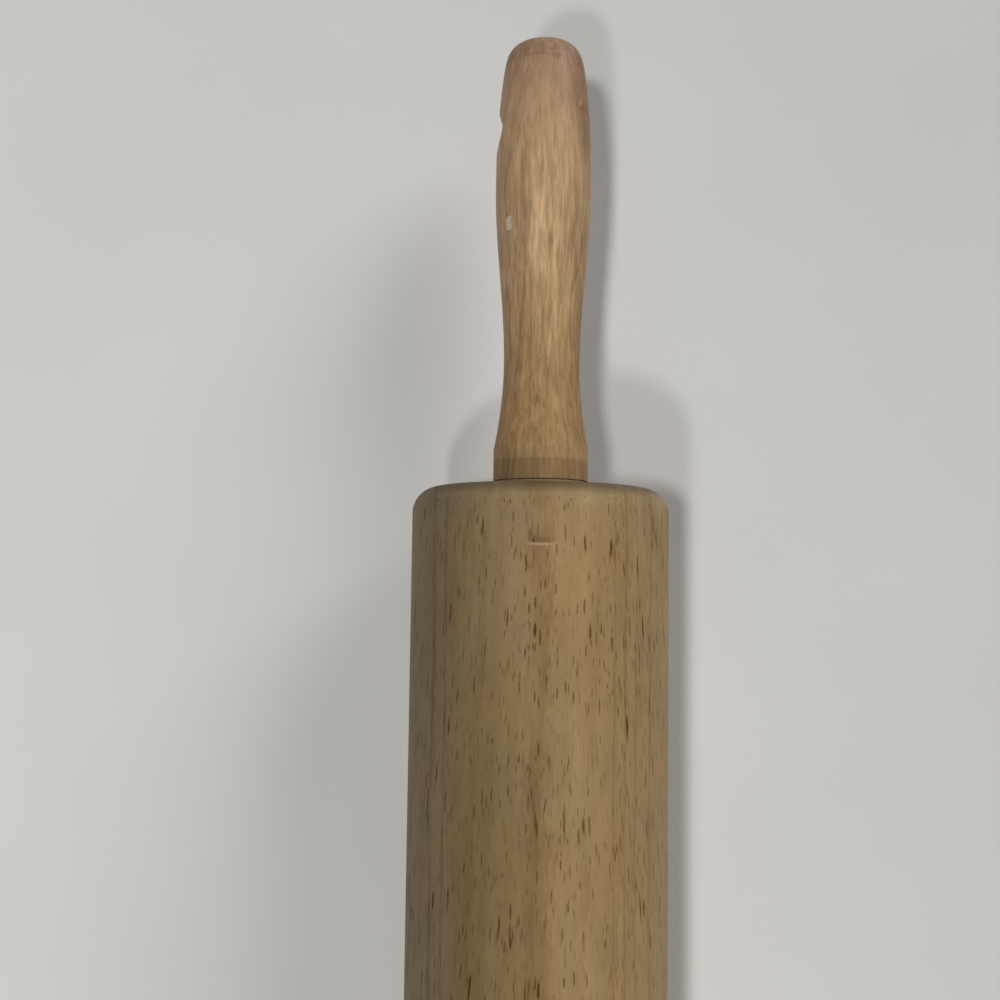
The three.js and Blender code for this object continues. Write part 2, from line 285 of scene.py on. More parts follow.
def handle_outline():
    """A handle's outline from the bottom of its bore round to its tip, with x measured from the base."""
    grip = HANDLE_LENGTH - GRIP_FROM_TIP
    shoulder = HANDLE_LENGTH - SHOULDER_FROM_TIP
    lead = (shoulder - grip) / 3
    slope = (SHOULDER_RADIUS - TIP_CORNER_RADIUS) / SHOULDER_FROM_TIP
    third = (grip - WAIST_FROM_BASE) / 3
    points = [
        (DRILL_DEPTH + DRILL_RADIUS / 2, 0),
        (DRILL_DEPTH, DRILL_RADIUS),
        (INSERT_BORE_DEPTH, DRILL_RADIUS),
        (INSERT_BORE_DEPTH, INSERT_BORE_RADIUS),
        (FLANGE_SEAT_DEPTH, INSERT_BORE_RADIUS),
        (FLANGE_SEAT_DEPTH, FLANGE_SEAT_RADIUS),
        (0, FLANGE_SEAT_RADIUS),
    ]
    points += arc(COLLAR_ROUND, COLLAR_RADIUS - COLLAR_ROUND, COLLAR_ROUND, -90, 0, COLLAR_STEPS)
    points.append((COLLAR_LENGTH, COLLAR_RADIUS))
    points += bezier(
        [
            (COLLAR_LENGTH, COLLAR_RADIUS),
            ((COLLAR_LENGTH + WAIST_FROM_BASE) / 2, WAIST_RADIUS),
            (WAIST_FROM_BASE, WAIST_RADIUS),
        ],
        CURVE_STEPS,
    )
    points += bezier(
        [
            (WAIST_FROM_BASE, WAIST_RADIUS),
            (WAIST_FROM_BASE + third, WAIST_RADIUS),
            (grip - third, GRIP_RADIUS),
            (grip, GRIP_RADIUS),
        ],
        CURVE_STEPS,
    )
    points += bezier(
        [
            (grip, GRIP_RADIUS),
            ((grip + shoulder) / 2, GRIP_RADIUS),
            (shoulder - lead, SHOULDER_RADIUS + slope * lead),
            (shoulder, SHOULDER_RADIUS),
        ],
        3 * CURVE_STEPS,
    )
    points += bezier(
        [
            (shoulder, SHOULDER_RADIUS),
            (HANDLE_LENGTH, TIP_CORNER_RADIUS),
            (HANDLE_LENGTH, TIP_FLAT_RADIUS),
            (HANDLE_LENGTH, 0),
        ],
        CURVE_STEPS,
    )
    return points


def press_dent(mesh):
    """A leaning dent in the handle's +Y side, steep toward the tip, where the side is worn down."""
    bottom = HANDLE_TIP - DENT_BOTTOM_FROM_TIP
    for vertex in mesh.vertices:
        x, y, z = vertex.co / MM
        z -= AXIS_HEIGHT
        past = x + DENT_LEAN * z - bottom
        gentle = DENT_DEPTH * smooth_step(past, -DENT_GENTLE_LENGTH, 0)
        steep = (DENT_DEPTH - WORN_DEPTH) * smooth_step(past, 0, DENT_STEEP_LENGTH)
        depth = (gentle - steep) * (1 - smooth_step(x, HANDLE_TIP - WORN_FADE_FROM_TIP, HANDLE_TIP))
        if y > 0 and depth > 0:
            vertex.co.y = min(y, math.hypot(y, z) - depth) * MM


def ring_outline(low, high, bore, radius):
    """A plain ring's closed outline, with its sharp edges broken."""
    size = min(EDGE_BREAK, (high - low) / 4)
    return [
        (low, bore + size),
        (low, radius - size),
        (low + size, radius),
        (high - size, radius),
        (high, radius - size),
        (high, bore + size),
        (high - size, bore),
        (low + size, bore),
    ]


def spacer_outline():
    """A washer that presses on the inner ring, with a flange that closes the gap under the handle."""
    outside = HANDLE_BASE - FACE_GAP
    flange_inside = BARREL_END + RUNNING_GAP
    boss = ring_outline(BEARING_OUTSIDE + FACE_GAP, outside, RING_BORE, INNER_SHOULDER)
    flange = ring_outline(flange_inside, outside, RING_BORE, SPACER_FLANGE_RADIUS)
    return boss[:3] + [(flange_inside, INNER_SHOULDER)] + flange[1:7] + boss[7:]


def thread_steps(length):
    return round(RINGS_PER_PITCH * length / THREAD_PITCH)


def axle_outline():
    """The axle: a shoulder against each bearing, then a thread out into each handle."""
    half = [
        (AXLE_SHOULDER - AXLE_CHAMFER, AXLE_RADIUS),
        (AXLE_SHOULDER, AXLE_RADIUS - AXLE_CHAMFER / 2),
        (AXLE_SHOULDER, THREAD_RADIUS),
        (THREAD_START, THREAD_RADIUS),
    ]
    thread_end = (AXLE_END - AXLE_CHAMFER, THREAD_RADIUS)
    half += spread(half[-1], thread_end, thread_steps(thread_end[0] - THREAD_START))
    half += [thread_end, (AXLE_END, THREAD_RADIUS - AXLE_CHAMFER), (AXLE_END, 0)]
    return mirrored(reversed(half), -1) + half


def insert_outline():
    """A handle's insert: a flange, barbs outside and a threaded bore, with x from the handle's base."""
    pitch = (BARBS_END - FLANGE_THICKNESS) / BARB_COUNT
    points = [
        (0, INSERT_BORE + EDGE_BREAK),
        (0, FLANGE_RADIUS - EDGE_BREAK),
        (EDGE_BREAK, FLANGE_RADIUS),
        (FLANGE_THICKNESS, FLANGE_RADIUS),
        (FLANGE_THICKNESS, INSERT_ROOT),
    ]
    for barb in range(BARB_COUNT):
        start = FLANGE_THICKNESS + barb * pitch
        points += [(start + pitch / 2, INSERT_ROOT + BARB_HEIGHT), (start + pitch, INSERT_ROOT)]
    points += [(INSERT_LENGTH, INSERT_ROOT), (INSERT_LENGTH, INSERT_BORE)]
    points += spread(points[-1], (EDGE_BREAK, INSERT_BORE), thread_steps(INSERT_LENGTH))
    return points + [(EDGE_BREAK, INSERT_BORE)]


def cut_thread(mesh, start, end, radius):
    """Wind a groove along a round stretch, which fades in and out over one turn at each end."""
    for vertex in mesh.vertices:
        x, y, z = vertex.co / MM
        outward = Vector((0, y, z - AXIS_HEIGHT))
        depth = min(abs(x) - start, end - abs(x), THREAD_PITCH) / THREAD_PITCH * THREAD_DEPTH
        if depth <= 0 or abs(outward.length - radius) > EDGE_BREAK:
            continue
        turns = x / THREAD_PITCH + math.atan2(outward.y, outward.z) / (2 * math.pi)
        groove = 1 - abs(2 * (turns % 1) - 1)
        vertex.co -= outward.normalized() * depth * groove * MM


def inner_ring_outline():
    start, end = 180 - RACE_HALF_ANGLE, 180 + RACE_HALF_ANGLE
    race = arc(BEARING_MIDDLE, PITCH_RADIUS, RACE_CURVE, start, end, RACE_STEPS)
    corners = ring_outline(BEARING_INSIDE, BEARING_OUTSIDE, RING_BORE, INNER_SHOULDER)
    return corners[:3] + race[::-1] + corners[3:]


def outer_ring_outline():
    race = arc(BEARING_MIDDLE, PITCH_RADIUS, RACE_CURVE, RACE_HALF_ANGLE, -RACE_HALF_ANGLE, RACE_STEPS)
    corners = ring_outline(BEARING_INSIDE, BEARING_OUTSIDE, SHIELD_SEAT - EDGE_BREAK, BEARING_RADIUS)
    near, far = BEARING_MIDDLE - SHIELD_SEAT_FLOOR, BEARING_MIDDLE + SHIELD_SEAT_FLOOR
    inside = [(far, SHIELD_SEAT), (far, OUTER_SHOULDER), *race, (near, OUTER_SHOULDER), (near, SHIELD_SEAT)]
    return corners[:6] + inside


def ball(name, middle):
    bm = bmesh.new()
    bmesh.ops.create_icosphere(
        bm,
        subdivisions=BALL_SUBDIVISIONS,
        radius=BALL_RADIUS * MM,
        matrix=Matrix.Translation(middle),
    )
    return new_object(name, bm)


def cage(name, outline, ball_middles):
    """A ring with a round pocket through it for each ball."""
    made = turned(name, outline, METAL_SIDES, closed=True)
    bm = bmesh.new()
    for middle in ball_middles:
        axis_point = Vector((middle.x, 0, AXIS_HEIGHT * MM))
        toward = (middle - axis_point).to_track_quat("Z", "Y").to_matrix().to_4x4()
        bmesh.ops.create_cone(
            bm,
            cap_ends=True,
            segments=POCKET_SIDES,
            radius1=POCKET_RADIUS * MM,
            radius2=POCKET_RADIUS * MM,
            depth=2 * (CAGE_RADIUS - CAGE_BORE) * MM,
            matrix=Matrix.Translation(middle) @ toward,
        )
    drills = new_object("drills", bm)
    cut = made.modifiers.new("pockets", "BOOLEAN")
    cut.object = drills
    cut.operation = "DIFFERENCE"
    cut.solver = "EXACT"
    whole = made.data
    made.data = bpy.data.meshes.new_from_object(made.evaluated_get(bpy.context.evaluated_depsgraph_get()))
    made.modifiers.remove(cut)
    made.data.uv_layers.remove(made.data.uv_layers["OFBake"])
    bpy.data.objects.remove(drills)
    bpy.data.meshes.remove(whole)
    return made


class Shading:
    """A new material, with short names for the shader nodes that it is made of."""

    def __init__(self, name):
        self.material = bpy.data.materials.new(name)
        self.material.use_nodes = True
        self.tree = self.material.node_tree
        self.shader = self.tree.nodes["Principled BSDF"]

    def feed(self, socket, value):
        """Give a socket a value, or link it to another node's output."""
        if isinstance(value, bpy.types.NodeSocket):
            self.tree.links.new(value, socket)
        else:
            socket.default_value = value

    def add(self, kind, inputs, **settings):
        node = self.tree.nodes.new(kind)
        for key, value in settings.items():
            setattr(node, key, value)
        for key, value in inputs.items():
            self.feed(node.inputs[key], value)
        return node

    def math(self, operation, *values):
        return self.add("ShaderNodeMath", dict(enumerate(values)), operation=operation).outputs[0]

    def vector(self, operation, *values):
        node = self.add("ShaderNodeVectorMath", dict(enumerate(values)), operation=operation)
        return node.outputs["Vector"]

    def length(self, value):
        return self.add("ShaderNodeVectorMath", {0: value}, operation="LENGTH").outputs["Value"]

    def parts(self, value):
        """The X, Y and Z outputs of a vector."""
        return self.add("ShaderNodeSeparateXYZ", {"Vector": value}).outputs

    def step(self, value, low, high, new_low=0.0, new_high=1.0):
        """Smoothly from new_low where value is low to new_high where it is high. Low may be the larger."""
        inputs = {"Value": value, "From Min": low, "From Max": high, "To Min": new_low, "To Max": new_high}
        return self.add("ShaderNodeMapRange", inputs, interpolation_type="SMOOTHSTEP").outputs["Result"]

    def noise(self, place, size, detail, roughness):
        """Cloudy noise about 0.5, with clouds about size (x, y, z) long, as a node with Fac and Color."""
        scaled = self.vector("DIVIDE", place, size)
        inputs = {"Vector": scaled, "Scale": 1.0, "Detail": detail, "Roughness": roughness}
        return self.add("ShaderNodeTexNoise", inputs)

    def clouds(self, place, size, detail=2.0, roughness=0.5):
        return self.noise(place, size, detail, roughness).outputs["Fac"]

    def shifted(self, place, size, reach, detail=1.0):
        """A place moved about by noise, by up to about half of reach (x, y, z) each way."""
        shift = self.noise(place, size, detail, 0.5).outputs["Color"]
        shift = self.vector("SUBTRACT", shift, (0.5, 0.5, 0.5))
        return self.vector("ADD", place, self.vector("MULTIPLY", shift, reach))

    def turn(self, place, axis, degrees):
        inputs = {"Vector": place, "Axis": axis, "Angle": math.radians(degrees)}
        return self.add("ShaderNodeVectorRotate", inputs).outputs["Vector"]

    def blend(self, factor, first, second, mode="MIX"):
        """Second over first. A plain colour is written as three numbers."""
        first, second = (
            value if isinstance(value, bpy.types.NodeSocket) else (*value, 1) for value in (first, second)
        )
        inputs = {0: factor, 6: first, 7: second}
        return self.add("ShaderNodeMix", inputs, data_type="RGBA", blend_type=mode).outputs[2]

    def place(self):
        """Millimetres in the part's frame, with the pin's axis at Y = Z = 0."""
        inputs = {
            "Vector": self.add("ShaderNodeTexCoord", {}).outputs["Object"],
            "Location": (0, 0, -AXIS_HEIGHT),
            "Scale": (1 / MM, 1 / MM, 1 / MM),
        }
        return self.add("ShaderNodeMapping", inputs).outputs["Vector"]

    def finish(self, colour, roughness, height, relief):
        """Join colour, roughness and bump to the shader. A height of 1 stands relief millimetres proud."""
        bump = self.add("ShaderNodeBump", {"Height": height, "Distance": relief * MM, "Strength": 1.0})
        self.feed(self.shader.inputs["Base Color"], colour)
        self.feed(self.shader.inputs["Roughness"], roughness)
        self.feed(self.shader.inputs["Normal"], bump.outputs["Normal"])
        return self.material


@dataclass
class Pores:
    """One size of pore: open tubes along the grain, which show as short dark lines."""

    length: float
    spacing: float
    radius: float  # as a share of the spacing
    share: float  # of the pores that show
    strength: float


@dataclass
class Wood:
    """How one kind of wood looks. A size along the grain comes before the one across it."""

    dark: tuple
    pale: tuple
    tinge: tuple
    tinges: tuple  # two tints that come and go over the tinge size
    pore_colour: tuple
    end_tint: tuple
    lean: float  # how far the grain climbs toward +X, in degrees
    pith: tuple  # Y and Z of the middle of the tree
    ring_width: float
    ring_contrast: float
    fibre: tuple
    fibre_contrast: float
    cloud: tuple
    cloud_contrast: float
    pores: tuple
    sway: float
    roughness: float
    relief: float


BARREL_WOOD = Wood(
    dark=(0.224, 0.150, 0.063),
    pale=(0.376, 0.263, 0.125),
    tinge=(27, 6),
    tinges=((1.03, 0.99, 0.97), (0.99, 1.0, 1.02)),
    pore_colour=(0.098, 0.044, 0.001),
    end_tint=(0.88, 0.85, 0.84),
    lean=7,
    pith=(90, -10),
    ring_width=3.2,
    ring_contrast=0.08,
    fibre=(4.5, 0.9),
    fibre_contrast=0.38,
    cloud=(13, 5),
    cloud_contrast=0.43,
    pores=(
        Pores(13, 0.95, 0.31, 0.95, 0.72),
        Pores(22, 1.5, 0.29, 0.45, 1.0),
        Pores(9, 0.75, 0.33, 0.85, 0.55),
        Pores(20, 3.2, 0.13, 0.06, 1.3),
    ),
    sway=1.2,
    roughness=0.46,
    relief=0.1,
)

HANDLE_WOOD = Wood(
    dark=(0.229, 0.137, 0.054),
    pale=(0.447, 0.286, 0.128),
    tinge=(11, 3),
    tinges=((1.03, 0.985, 1.02), (0.985, 1.0, 0.96)),
    pore_colour=(0.15, 0.078, 0.026),
    end_tint=(0.9, 0.84, 0.86),
    lean=2.4,
    pith=(-2, -20),
    ring_width=1.1,
    ring_contrast=0.08,
    fibre=(9, 1.0),
    fibre_contrast=1.0,
    cloud=(16, 4),
    cloud_contrast=0.55,
    pores=(Pores(16, 0.85, 0.27, 0.6, 0.5), Pores(9, 0.7, 0.3, 0.5, 0.4)),
    sway=1.4,
    roughness=0.44,
    relief=0.1,
)

# Noise in both woods: the size of its clouds and how far they move the grain or the pores. Noise stays
# near 0.5, and an edge is the stretch of its values over which one look turns into the other
SWAY_SIZE = (55, 20, 20)
STREW_SIZE, STREW_REACH = (80, 2.5, 2.5), (26, 0, 0)
FRAY_SIZE, FRAY_REACH = (3, 0.8, 0.8), (0, 0.5, 0.5)
RING_EDGE, TONE_EDGE, TINGE_EDGE = (0.36, 0.64), (0.1, 0.9), (0.35, 0.65)
PORE_CORE = 0.55
WOOD_SHEEN = 0.2

# What a fibre or a pore adds to the roughness, and how high fibres stand beside a pore's depth of 1
FIBRE_ROUGHNESS, PORE_ROUGHNESS = 0.2, 0.2
FIBRE_HEIGHT = 0.35

# How squarely a surface cuts across the grain where its pores fade, how much of them is left, and where
# it takes on the end tint
PORE_FADE, PORES_LEFT = (0.15, 0.6), 0.25
END_GRAIN = (0.65, 0.97)


def wood(name, look, origin, quarter, marks):
    """Solid wood: rings round a pith, fibres and pores along the grain, and so end grain on a cut end.

    The tree stands at origin, turned by quarter degrees about the pin's axis. marks adds the piece's marks.
    """
    ink = Shading(name)
    place = ink.place()
    tree = ink.turn(ink.vector("SUBTRACT", place, origin), (1, 0, 0), quarter)
    tree = ink.shifted(tree, SWAY_SIZE, (0, 2 * look.sway, 2 * look.sway))
    grain = ink.turn(tree, (0, 1, 0), look.lean)

    length, spacing = look.fibre
    fibres = ink.clouds(grain, (length, spacing, spacing), 4.0, 0.6)
    length, spacing = look.cloud
    clouds = ink.clouds(grain, (length, spacing, spacing), 3.0)
    from_pith = ink.vector("MULTIPLY", ink.vector("SUBTRACT", grain, (0, *look.pith)), (0, 1, 1))
    distance = ink.math("MULTIPLY_ADD", fibres, look.ring_width, ink.length(from_pith))
    rings = ink.add(
        "ShaderNodeTexNoise",
        {"W": distance, "Scale": 1 / look.ring_width, "Detail": 2.0, "Roughness": 0.6},
        noise_dimensions="1D",
    ).outputs["Fac"]
    rings = ink.step(rings, *RING_EDGE)
    layers = (
        (fibres, look.fibre_contrast),
        (rings, look.ring_contrast),
        (clouds, look.cloud_contrast),
    )
    tone = 0.5
    for layer, contrast in layers:
        tone = ink.math("MULTIPLY_ADD", ink.math("SUBTRACT", layer, 0.5), contrast, tone)
    colour = ink.blend(ink.step(tone, *TONE_EDGE), look.dark, look.pale)
    length, spacing = look.tinge
    tinge = ink.step(ink.clouds(grain, (length, spacing, spacing)), *TINGE_EDGE)
    colour = ink.blend(1.0, colour, ink.blend(tinge, *look.tinges), "MULTIPLY")

    normal = ink.add("ShaderNodeTexCoord", {}).outputs["Normal"]
    end_grain = ink.length(ink.vector("MULTIPLY", normal, (1, 0, 0)))
    strewn = ink.shifted(grain, STREW_SIZE, STREW_REACH)
    frayed = ink.shifted(strewn, FRAY_SIZE, FRAY_REACH, 2.0)
    crowding = ink.math("SUBTRACT", clouds, 0.5)
    holes = 0.0
    for pores in look.pores:
        scaled = ink.vector("DIVIDE", frayed, (pores.length, pores.spacing, pores.spacing))
        cells = ink.add("ShaderNodeTexVoronoi", {"Vector": scaled, "Scale": 1.0, "Randomness": 1.0})
        chance = ink.add("ShaderNodeSeparateColor", {"Color": cells.outputs["Color"]}).outputs["Red"]
        chance = ink.math("SUBTRACT", chance, crowding)
        shown = ink.step(chance, 1 - pores.share, 1.0, 0.0, pores.strength)
        spot = ink.step(cells.outputs["Distance"], pores.radius, PORE_CORE * pores.radius)
        holes = ink.math("MAXIMUM", holes, ink.math("MULTIPLY", spot, shown))
    holes = ink.math("MULTIPLY", holes, ink.step(end_grain, *PORE_FADE, 1.0, PORES_LEFT))
    colour = ink.blend(holes, colour, look.pore_colour)
    colour = ink.blend(ink.step(end_grain, *END_GRAIN), colour, look.end_tint, "MULTIPLY")
    colour = marks(ink, place, fibres, colour)

    roughness = ink.math("MULTIPLY_ADD", fibres, FIBRE_ROUGHNESS, look.roughness)
    roughness = ink.math("MULTIPLY_ADD", holes, PORE_ROUGHNESS, roughness)
    height = ink.math("SUBTRACT", ink.math("MULTIPLY", fibres, FIBRE_HEIGHT), holes)
    ink.shader.inputs["Specular IOR Level"].default_value = WOOD_SHEEN
    return ink.finish(colour, roughness, height, look.relief)


@dataclass
class Patch:
    """A tint about a place, out to a size along X, Y and Z, for wood of another colour and for painted
    shade.
    """

    place: tuple
    size: tuple
    tint: tuple
    core: float = 0.4  # the share of the size within which the tint is full


def patched(ink, place, patches, colour):
    for patch in patches:
        away = ink.length(ink.vector("DIVIDE", ink.vector("SUBTRACT", place, patch.place), patch.size))
        colour = ink.blend(ink.step(away, 1.0, patch.core), colour, patch.tint, "MULTIPLY")
    return colour


FEATHER_SIZE, FEATHER_REACH = (14, 1.2, 1.2), (12, 1.2, 1.2)


def feathered(ink, place):
    """A place moved about along the grain, which gives patches long ragged ends."""
    return ink.shifted(place, FEATHER_SIZE, FEATHER_REACH, 2.0)


# Painted shade greying and darkening the barrel's upper +Y side, painted shade beside its stripe, its
# pinker +X end, painted shade there toward +Y, and paler at the stripe
BARREL_PATCHES = (
    # painted shade: the upper +Y side greyer and darker
    Patch((0, 36, 14), (500, 32, 45), (0.57, 0.62, 0.71), core=0.2),
    # painted shade: darker and browner beside the stripe
    Patch((50, 12, 33), (95, 15, 25), (0.72, 0.71, 0.61), core=0.45),
    Patch((BARREL_END, 0, 0), (22, 60, 60), (1.0, 1.03, 1.11), core=0.5),
    # painted shade: darker near the +X end toward +Y
    Patch((140, 22, 28), (45, 24, 22), (0.87, 0.88, 0.90)),
    Patch((145, -4, 34), (25, 9, 12), (1.10, 1.08, 1.05)),
)

# Lines along the barrel: Y of the middle, half the width, and the tint
BARREL_LINES = (
    (1.3, 3.1, (0.78, 0.71, 0.64)),
    (-9.0, 4.0, (1.12, 1.13, 1.14)),
    (27.4, 0.45, (0.70, 0.66, 0.6)),
    (24.4, 0.3, (0.82, 0.78, 0.72)),
    (-17.5, 0.3, (0.86, 0.82, 0.78)),
    (-20.4, 0.4, (0.82, 0.78, 0.74)),
    (-23.2, 0.3, (0.86, 0.82, 0.78)),
    (-27.2, 0.4, (0.80, 0.76, 0.72)),
)

# How those lines wander, and how they fade in places to a share of their strength
LINE_SWAY_SIZE, LINE_SWAY_REACH = (45, 12, 12), (0, 2.2, 0)
LINE_BREAK_SIZE, LINE_BREAK_EDGE, LINE_LEAST = (16, 5, 5), (0.3, 0.6), 0.45

# Painted shade on both rims of the barrel, darker toward their ends
RIM_SHADE, RIM_SHADE_TINT = (BARREL_END - 4, BARREL_END - 0.5), (0.52, 0.525, 0.51)

# The nick: the painted highlight on its wall and how strong it is, the painted shade on its runout, and its
# ragged ends
NICK_HIGHLIGHT, NICK_HIGHLIGHT_SHARE = (0.43, 0.31, 0.175), 0.75
NICK_SHADE = (0.76, 0.70, 0.64)
NICK_RAGGED_SIZE, NICK_RAGGED_REACH = (1.5, 1.5, 1.5), 2.0


def barrel_marks(ink, place, fibres, colour):
    """Patches, some of them painted shade, a brown stripe and thin lines along the barrel, painted shade on
    its rims, and the nick with a painted highlight on its wall and painted shade beyond it.
    """
    colour = patched(ink, feathered(ink, place), BARREL_PATCHES, colour)

    swayed = ink.parts(ink.shifted(place, LINE_SWAY_SIZE, LINE_SWAY_REACH, 3.0))["Y"]
    broken = ink.step(ink.clouds(place, LINE_BREAK_SIZE), *LINE_BREAK_EDGE, LINE_LEAST, 1.0)
    for middle, half_width, tint in BARREL_LINES:
        away = ink.math("ABSOLUTE", ink.math("SUBTRACT", swayed, middle))
        frayed = ink.math("MULTIPLY_ADD", ink.math("SUBTRACT", fibres, 0.5), 2 * half_width, away)
        band = ink.step(frayed, 1.5 * half_width, 0.2 * half_width)
        colour = ink.blend(ink.math("MULTIPLY", band, broken), colour, tint, "MULTIPLY")

    x, y, z = ink.parts(place)
    # painted shade on both rims of the barrel
    colour = ink.blend(ink.step(ink.math("ABSOLUTE", x), *RIM_SHADE), colour, RIM_SHADE_TINT, "MULTIPLY")
    across = ink.math("SUBTRACT", y, NICK_MIDDLE_Y)
    bend = ink.math("MULTIPLY", ink.math("MULTIPLY", across, across), NICK_CURVE)
    along = ink.math("SUBTRACT", ink.math("SUBTRACT", x, BARREL_END - NICK_FROM_END), bend)
    uneven = ink.clouds(place, NICK_RAGGED_SIZE)
    ragged = ink.math("MULTIPLY_ADD", uneven, NICK_RAGGED_REACH, ink.math("ABSOLUTE", across))
    within = ink.step(ragged, NICK_HALF_LENGTH + NICK_RAGGED_REACH / 2, 0.6 * NICK_HALF_LENGTH)
    within = ink.math("MULTIPLY", within, ink.math("GREATER_THAN", z, 0.0))
    # painted shade on the nick's runout
    runout = ink.math("MULTIPLY", ink.step(along, 0.0, NICK_WALL), ink.step(along, NICK_RUNOUT, NICK_WALL))
    colour = ink.blend(ink.math("MULTIPLY", runout, within), colour, NICK_SHADE, "MULTIPLY")
    # painted highlight on the nick's wall
    wall = ink.step(ink.math("ABSOLUTE", along), 0.6 * NICK_WALL, 0.3 * NICK_WALL, 0.0, NICK_HIGHLIGHT_SHARE)
    return ink.blend(ink.math("MULTIPLY", wall, within), colour, NICK_HIGHLIGHT)


# How both handles change along their length from the base: the start and end of each change, and its tint
# Painted shade next to the barrel, over the first few millimetres from the base
BASE_SHADE, BASE_SHADE_TINT = (6, 5), (0.74, 0.74, 0.70)
COLLAR, COLLAR_TINT = (11, 7), (1.16, 1.20, 1.29)
RUBBED, RUBBED_TINT = (12, 80), (1.48, 1.58, 1.98)
TIP, TIP_TINT = (92, 116), (1.16, 1.17, 1.66)
DOME, DOME_TINT = (113, 119), (0.82, 0.84, 0.86)
RUBBED_FRAY = 50
TIP_FRAY = 40
TIP_LINE, TIP_LINE_TINT = 115.9, (0.82, 0.77, 0.76)
TIP_LINE_HALF_WIDTH = 0.75
TIP_LINE_WANDER_SIZE, TIP_LINE_WANDER = (5, 5, 5), 3.0
TIP_LINE_BREAK_SIZE, TIP_LINE_BREAK_EDGE = (7, 7, 7), (0.38, 0.55)

# The photographed handle: painted shade on both its sides, the brown wood round its knot, and a pale lens
# of grain with a brown lane on one side of it, a thin pale line and a darker lane on the other, and a brown
# waist
HANDLE_PATCHES = (
    # painted shade on both sides of the photographed handle
    Patch((228, 15, 0), (90, 12, 40), (0.79, 0.77, 0.82), core=0.25),
    Patch((228, -13, 0), (95, 8, 40), (0.76, 0.74, 0.74), core=0.35),
    Patch((272, -10, 7), (20, 8, 9), (0.74, 0.69, 0.67), core=0.3),
    Patch((232.3, 1.5, 12.3), (14, 3, 9), (1.24, 1.26, 1.28), core=0.65),
    Patch((234, 5.6, 11), (17, 2.2, 8), (0.86, 0.82, 0.82)),
    Patch((225, -2.9, 11.7), (24, 0.9, 6), (1.22, 1.20, 1.15)),
    Patch((244, -6, 10), (22, 4, 8), (0.92, 0.91, 0.90)),
    Patch((207, -11, 2), (17, 3.2, 12), (0.88, 0.76, 0.66)),
)

# The knot and its pale middle
KNOT_PATCHES = (
    Patch((270, -10.9, 6.3), (2.4, 1.8, 2.6), (0.84, 0.74, 0.72)),
    Patch((270.7, -9.5, 8.1), (1.1, 0.9, 1.2), (1.45, 1.48, 1.55)),
)

# A pale fleck. Its edge runs from no cover to full cover, in shares of its size
FLECK_PLACE = (236.9, 9.6, 8.3)
FLECK_SIZE = (2.2, 1.5, 1.5)
FLECK_EDGE = (1.1, 0.75)
FLECK_COLOUR, FLECK_COVER = (0.66, 0.50, 0.40), 0.85

# How ragged the fleck and the knot are
RAGGED_SIZE = (1.6, 1.6, 1.6)
FLECK_RAGGED_REACH, KNOT_RAGGED_REACH = (2.4, 2.0, 2.0), (1, 1, 1)


def handle_marks(ink, place, fibres, colour):
    """Wood that palms have rubbed pale, a line round the tip, painted shade on the collar next to the
    barrel, patches, some of them painted shade, and a fleck.
    """
    along = ink.math("SUBTRACT", ink.math("ABSOLUTE", ink.parts(place)["X"]), HANDLE_BASE)
    streak = ink.math("SUBTRACT", fibres, 0.5)
    rubbed = ink.step(ink.math("MULTIPLY_ADD", streak, RUBBED_FRAY, along), *RUBBED)
    tip = ink.step(ink.math("MULTIPLY_ADD", streak, TIP_FRAY, along), *TIP)
    tint = ink.blend(rubbed, (1, 1, 1), RUBBED_TINT)
    tint = ink.blend(tip, tint, TIP_TINT)
    colour = ink.blend(1.0, colour, tint, "MULTIPLY")
    stretches = ((DOME, DOME_TINT), (COLLAR, COLLAR_TINT), (BASE_SHADE, BASE_SHADE_TINT))
    for stretch, tint in stretches:
        colour = ink.blend(ink.step(along, *stretch), colour, tint, "MULTIPLY")
    colour = patched(ink, feathered(ink, place), HANDLE_PATCHES, colour)

    shift = ink.clouds(place, TIP_LINE_WANDER_SIZE)
    wander = ink.math("MULTIPLY_ADD", shift, TIP_LINE_WANDER, TIP_LINE - TIP_LINE_WANDER / 2)
    away = ink.math("ABSOLUTE", ink.math("SUBTRACT", along, wander))
    broken = ink.step(ink.clouds(place, TIP_LINE_BREAK_SIZE), *TIP_LINE_BREAK_EDGE)
    line = ink.math("MULTIPLY", ink.step(away, TIP_LINE_HALF_WIDTH, 0.0), broken)
    colour = ink.blend(line, colour, TIP_LINE_TINT, "MULTIPLY")

    ragged = ink.shifted(place, RAGGED_SIZE, FLECK_RAGGED_REACH, 2.0)
    from_fleck = ink.length(ink.vector("DIVIDE", ink.vector("SUBTRACT", ragged, FLECK_PLACE), FLECK_SIZE))
    colour = ink.blend(ink.step(from_fleck, *FLECK_EDGE, 0.0, FLECK_COVER), colour, FLECK_COLOUR)
    return patched(ink, ink.shifted(place, RAGGED_SIZE, KNOT_RAGGED_REACH), KNOT_PATCHES, colour)


def metal(name, dull, bright, roughness, lines, clouds, relief):
    """Bare metal with fine tool lines, which lines makes from the place, and stains about clouds long."""
    ink = Shading(name)
    place = ink.place()
    scored = lines(ink, place)
    stains = ink.clouds(place, (clouds, clouds, clouds), 3.0, 0.6)
    shade = ink.step(ink.math("MULTIPLY_ADD", scored, 0.4, ink.math("MULTIPLY", stains, 0.6)), 0.3, 0.7)
    ink.shader.inputs["Metallic"].default_value = 1.0
    rough = ink.math("MULTIPLY_ADD", ink.math("SUBTRACT", stains, 0.5), 0.3, roughness)
    return ink.finish(ink.blend(shade, dull, bright), rough, scored, relief)


def drawn_lines(ink, place):
    """Lines along the axis, as a drawing die leaves them."""
    return ink.clouds(place, (60, 0.12, 0.12))


